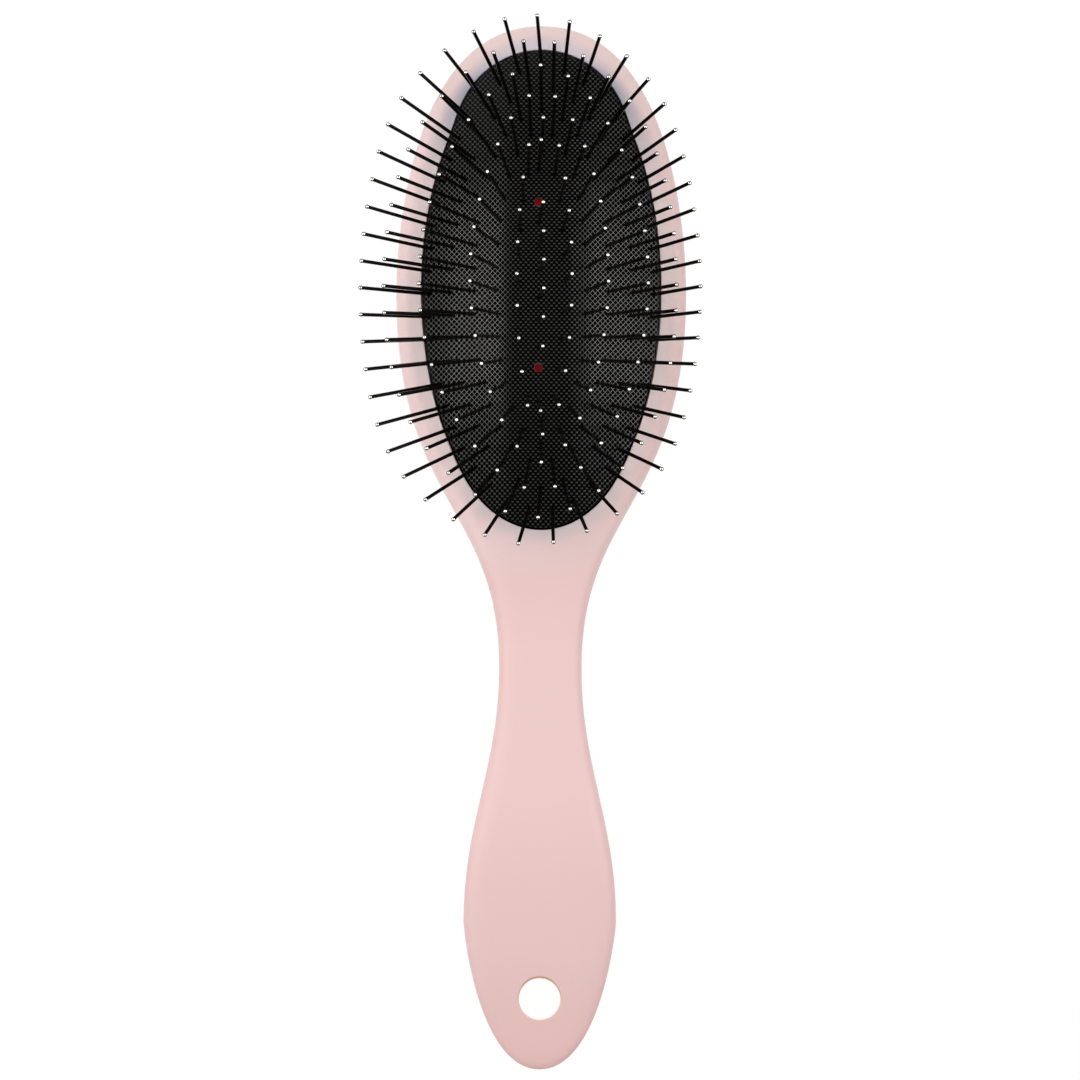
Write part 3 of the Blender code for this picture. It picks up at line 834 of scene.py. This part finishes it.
def ventCutter(side):
    c = cushion
    x0, y0 = c["centreRowAt"], side * c["ventAt"]
    top = float(faceHeight(x0, y0))
    stations = [(0, top - c["ventCut"])]
    stations += [(out, top + c["ventRise"] - down) for out, down in flare(c["ventLip"], c["ventLipSteps"])]
    stations.append((c["ventLip"], top + c["ventCut"]))
    rings = []
    for out, z in stations:
        radius = c["ventRadius"] + out
        rings.append([(x + x0, y + y0, z) for x, y, _ in ellipse(radius, radius, z, c["ventSides"])])
    bm = bmesh.new()
    loft(bm, rings)
    return bm


# Tones of the rubber, and where they change
weave = {
    # from the crest of a ridge out to its foot, on the net's map, which counts in diagonals
    "ridgeSpan": (0.015, 0.053),
    # the flank ridges' light grey and the knot's grey dash are painted highlight
    "hollows": ("030303", "080707"), "crownRidge": "141312", "flankRidgeHighlight": "949491", "knot": "474745",
    # how long and how thin the painted highlight dash on a knot is, as values of the waves that run over
    # the map
    "dashSpan": (-0.1, 0.5), "dashRow": (0.6, 0.95),
    # a painted sheen that lightens the hollows towards the left of the head's end
    "paintedSheen": "141413", "paintedSheenWay": (-0.8, 1, 0), "paintedSheenSpan": (40, 55),
}

# Where the dome's flanks carry a painted highlight: from a middle point, out over the flanks, up and
# down to the ends, and less in a strip at the far left
flankHighlight = {
    "middle": (1.0, -4.0),
    "crownSpan": (6.5, 11.5), "outerSpan": (19, 26.5), "outerShare": 0.65,
    "endsSpan": (14, 36), "endsShare": 0.12,
    "farLeftSpan": (-26.0, -19.5), "farLeftShare": 0.4,
}


# Where two ridges cross, a dash of painted highlight that lies across the brush is 1, and the rest is 0
def knotHighlightMask(tree, split):
    waves = []
    for axis in ("X", "Y"):
        turn = calculate(tree, "MULTIPLY", split[axis], math.tau)
        waves.append(calculate(tree, "COSINE", turn))
    dash = ramp(tree, calculate(tree, "MULTIPLY", *waves), weave["dashSpan"])
    row = ramp(tree, calculate(tree, "ABSOLUTE", waves[1]), weave["dashRow"])
    return calculate(tree, "MULTIPLY", dash, row)


# The painted highlight on the flanks: both flanks of the dome are 1 at their middle, and its crown and both
# ends are near 0
def flankHighlightMask(tree, place):
    split = addNode(tree, "SeparateXYZ", {}, {0: place}).outputs
    across, along = (
        calculate(tree, "ABSOLUTE", calculate(tree, "SUBTRACT", split[axis], middle * mm))
        for axis, middle in zip("XY", flankHighlight["middle"]))
    mask = ramp(tree, across, metres(flankHighlight["outerSpan"]), (1, flankHighlight["outerShare"]))
    for share in (ramp(tree, split["X"], metres(flankHighlight["farLeftSpan"]), (flankHighlight["farLeftShare"], 1)),
                  ramp(tree, across, metres(flankHighlight["crownSpan"]), soft=True),
                  ramp(tree, along, metres(flankHighlight["endsSpan"]), (1, flankHighlight["endsShare"]), soft=True)):
        mask = calculate(tree, "MULTIPLY", mask, share)
    return mask


# Natural rubber sheet, calendered with a raised net: deep black in the diamonds, and ridges
# that are rubbed smooth and catch the softboxes as fine bright lines. On the dome's flanks the
# ridges are also painted light grey as a painted highlight, a painted highlight dash sits on each
# knot off the flanks, and a painted sheen lightens the hollows towards the left of the head's end
def netRubber():
    material, tree = startMaterial("netRubber")
    uv = addNode(tree, "UVMap", {"uv_map": "net"})
    split = addNode(tree, "SeparateXYZ", {}, {0: uv.outputs[0]}).outputs
    ridges = []
    for operation in ("ADD", "SUBTRACT"):
        # on a ridge the sum or the difference of the map's coordinates is whole
        both = calculate(tree, operation, split["X"], split["Y"])
        away = calculate(tree, "PINGPONG", both, 0.5)
        ridges.append(ramp(tree, away, weave["ridgeSpan"], (1, 0), soft=True))
    ridge = calculate(tree, "MAXIMUM", *ridges)
    place = addNode(tree, "TexCoord").outputs["Object"]
    flank = flankHighlightMask(tree, place)
    # painted highlight dashes on the knots, left off the lit flanks
    knots = calculate(tree, "MULTIPLY", knotHighlightMask(tree, split), ramp(tree, flank, results=(1, 0)))
    hollow = mixTints(tree, noise(tree, place, 220, 4), *weave["hollows"])
    # painted sheen: the hollows lighten towards the left of the head's end
    towardSheen = calculateVector(tree, "DOT_PRODUCT", place, weave["paintedSheenWay"], result="Value")
    hollow = mixTints(tree, ramp(tree, towardSheen, metres(weave["paintedSheenSpan"])), hollow, weave["paintedSheen"])
    # painted highlight: on the lit flanks the ridges turn light grey
    crest = mixTints(tree, flank, weave["crownRidge"], weave["flankRidgeHighlight"])
    tone = mixTints(tree, knots, mixTints(tree, ridge, hollow, crest), weave["knot"])
    grain = noise(tree, place, 9000, 1)
    return finishMaterial(material, tree, {
        "Base Color": tone, "Roughness": ramp(tree, ridge, results=(0.9, 0.4)),
        "Normal": bump(tree, grain, 0.2, 0.03),
        "IOR": 1.52, "Specular IOR Level": ramp(tree, ridge, results=(0, 0.15)),
        "Coat Weight": ramp(tree, ridge, results=(0, 0.6)), "Coat Roughness": 0.2, "Coat IOR": 1.6})


def makeCushion():
    rubber = netRubber()
    piece = meshObject("rubber_cushion", cushionSkin(), [rubber], 60)
    for side in (1, -1):
        cutAway(piece, meshObject("vent_cutter", ventCutter(side), [rubber]), 60)
    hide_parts("cushion_skin")
    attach(piece, "handle")
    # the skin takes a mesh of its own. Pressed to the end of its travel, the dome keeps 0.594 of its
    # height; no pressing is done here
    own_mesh(piece)
    print("cushion:", len(piece.data.polygons), "faces")


# Soft red rubber sheet glued under the skin: it shows as two red discs in the vents
def redSheetRubber():
    material, tree = startMaterial("redSheetRubber")
    place = addNode(tree, "TexCoord").outputs["Object"]
    mottle = noise(tree, place, 900, 3)
    return finishMaterial(material, tree, {
        "Base Color": mixTints(tree, mottle, "860002", "900104"), "Roughness": 0.7,
        "Normal": bump(tree, mottle, 0.3, 0.05), "IOR": 1.52, "Specular IOR Level": 0.1})


# Its two faces are made of ovals, which are shares of its outline
backing = {"thickness": 1.0, "sides": 120, "shares": (0.07, 0.2, 0.33, 0.46, 0.59, 0.72, 0.85, 1)}


def makeBacking():
    c = cushion
    inset = c["thickness"] + c["gap"]
    a, b = c["halfWidth"] - inset, c["halfLength"] - inset
    upper, lower = below(inset), below(inset + backing["thickness"])
    rings = [padOval(a * s, b * s, lower, backing["sides"]) for s in backing["shares"]]
    rings += [padOval(a * s, b * s, upper, backing["sides"]) for s in reversed(backing["shares"])]
    bm = bmesh.new()
    loft(bm, rings)
    piece = meshObject("red_backing", bm, [redSheetRubber()])
    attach(piece, "handle")
    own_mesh(piece)
    print("backing:", len(piece.data.polygons), "faces")


makeCushion()
makeBacking()


# Steel wire dipped in black lacquer: a deep gloss with one thin light line along each pin
def lacqueredSteel():
    material, tree = startMaterial("lacqueredSteel")
    place = addNode(tree, "TexCoord").outputs["Object"]
    runs = noise(tree, place, 700, 2)
    return finishMaterial(material, tree, {
        "Base Color": linear("080605"), "Roughness": ramp(tree, runs, results=(0.14, 0.24)),
        "Normal": bump(tree, runs, 0.08, 0.04), "IOR": 1.5, "Specular IOR Level": 0.3})


# Nickel-plated steel, bare and polished where combing rubs the lacquer off the ball tips: a small
# white dot on top of each dark ball
def polishedNickel():
    material, tree = startMaterial("polishedNickel")
    place = addNode(tree, "TexCoord").outputs["Object"]
    rub = noise(tree, place, 1500, 2)
    return finishMaterial(material, tree, {
        "Base Color": linear("f6f4ee"), "Metallic": 1.0,
        "Roughness": ramp(tree, rub, results=(0.27, 0.33))})


def standPin(bm, x, y):
    base = np.array((x, y, float(faceHeight(x, y))))
    along = pinDirection(x, y)
    across = np.cross(along, (0, 1, 0))
    across /= np.linalg.norm(across)
    other = np.cross(along, across)
    ball, steps = pins["tipRadius"], pins["ballSteps"]
    centre = base + along * (pins["length"] - ball)

    def ring(middle, radius, first, second):
        turns = math.tau * np.arange(pins["sides"]) / pins["sides"]
        return addRing(bm, [middle + radius * (first * math.cos(t) + second * math.sin(t)) for t in turns])

    rod = [ring(base - along * pins["rootDepth"], pins["radius"], across, other),
           ring(centre, pins["radius"], across, other)]
    skinRows(bm, rod)
    for end in rod:
        bm.faces.new(end)
    # the rings of the ball lie level, so that its bare spot is on top
    east, north, up = np.eye(3)
    rows = []
    for turn in np.linspace(-math.pi / 2, math.pi / 2, steps + 1)[1:-1]:
        rows.append(ring(centre + up * ball * math.sin(turn), ball * math.cos(turn), east, north))
    skinRows(bm, rows)
    low, high = (bm.verts.new(Vector(centre + up * ball * side) * mm) for side in (-1, 1))
    for pole, row in ((low, rows[0]), (high, rows[-1])):
        for k in range(len(row)):
            bm.faces.new((row[k], row[(k + 1) % len(row)], pole))
    bare = {high}.union(*rows[-pins["bareSteps"]:])
    for vert in bare:
        for face in vert.link_faces:
            if bare.issuperset(face.verts):
                face.material_index = 1


def makePins():
    lacquer, nickel = lacqueredSteel(), polishedNickel()
    for index in range(len(pins["counts"]) + 1):
        centre = index == len(pins["counts"])
        node = "pins_centre_row" if centre else f"pins_ring_{index + 1}"
        bm = bmesh.new()
        for x, y in pinPlaces(index):
            standPin(bm, x, y)
        piece = meshObject("steel_" + node, bm, [lacquer, nickel])
        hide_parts(node)
        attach(piece, "centre_row" if centre else f"ring_{index + 1}")
    print("pins:", sum(pins["counts"]) + 2 * len(pins["centreRow"]), "stand in the cushion")


makePins()


# Injection-moulded polypropylene for the ring in the skirt: waxy black with a faint flow grain
def mouldedPolypropylene():
    material, tree = startMaterial("mouldedPolypropylene")
    place = addNode(tree, "TexCoord").outputs["Object"]
    flow = noise(tree, place, 1200, 2)
    return finishMaterial(material, tree, {
        "Base Color": mixTints(tree, flow, "1c1c1c", "222222"),
        "Roughness": ramp(tree, flow, results=(0.38, 0.5)),
        "Normal": bump(tree, flow, 0.15, 0.05), "IOR": 1.49})


# The ring keeps the mesh that it has in the frame
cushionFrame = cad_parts["cushion_frame"]
framePlastic = mouldedPolypropylene()
for slot in cushionFrame.material_slots:
    slot.material = framePlastic
print("frame ring finished")
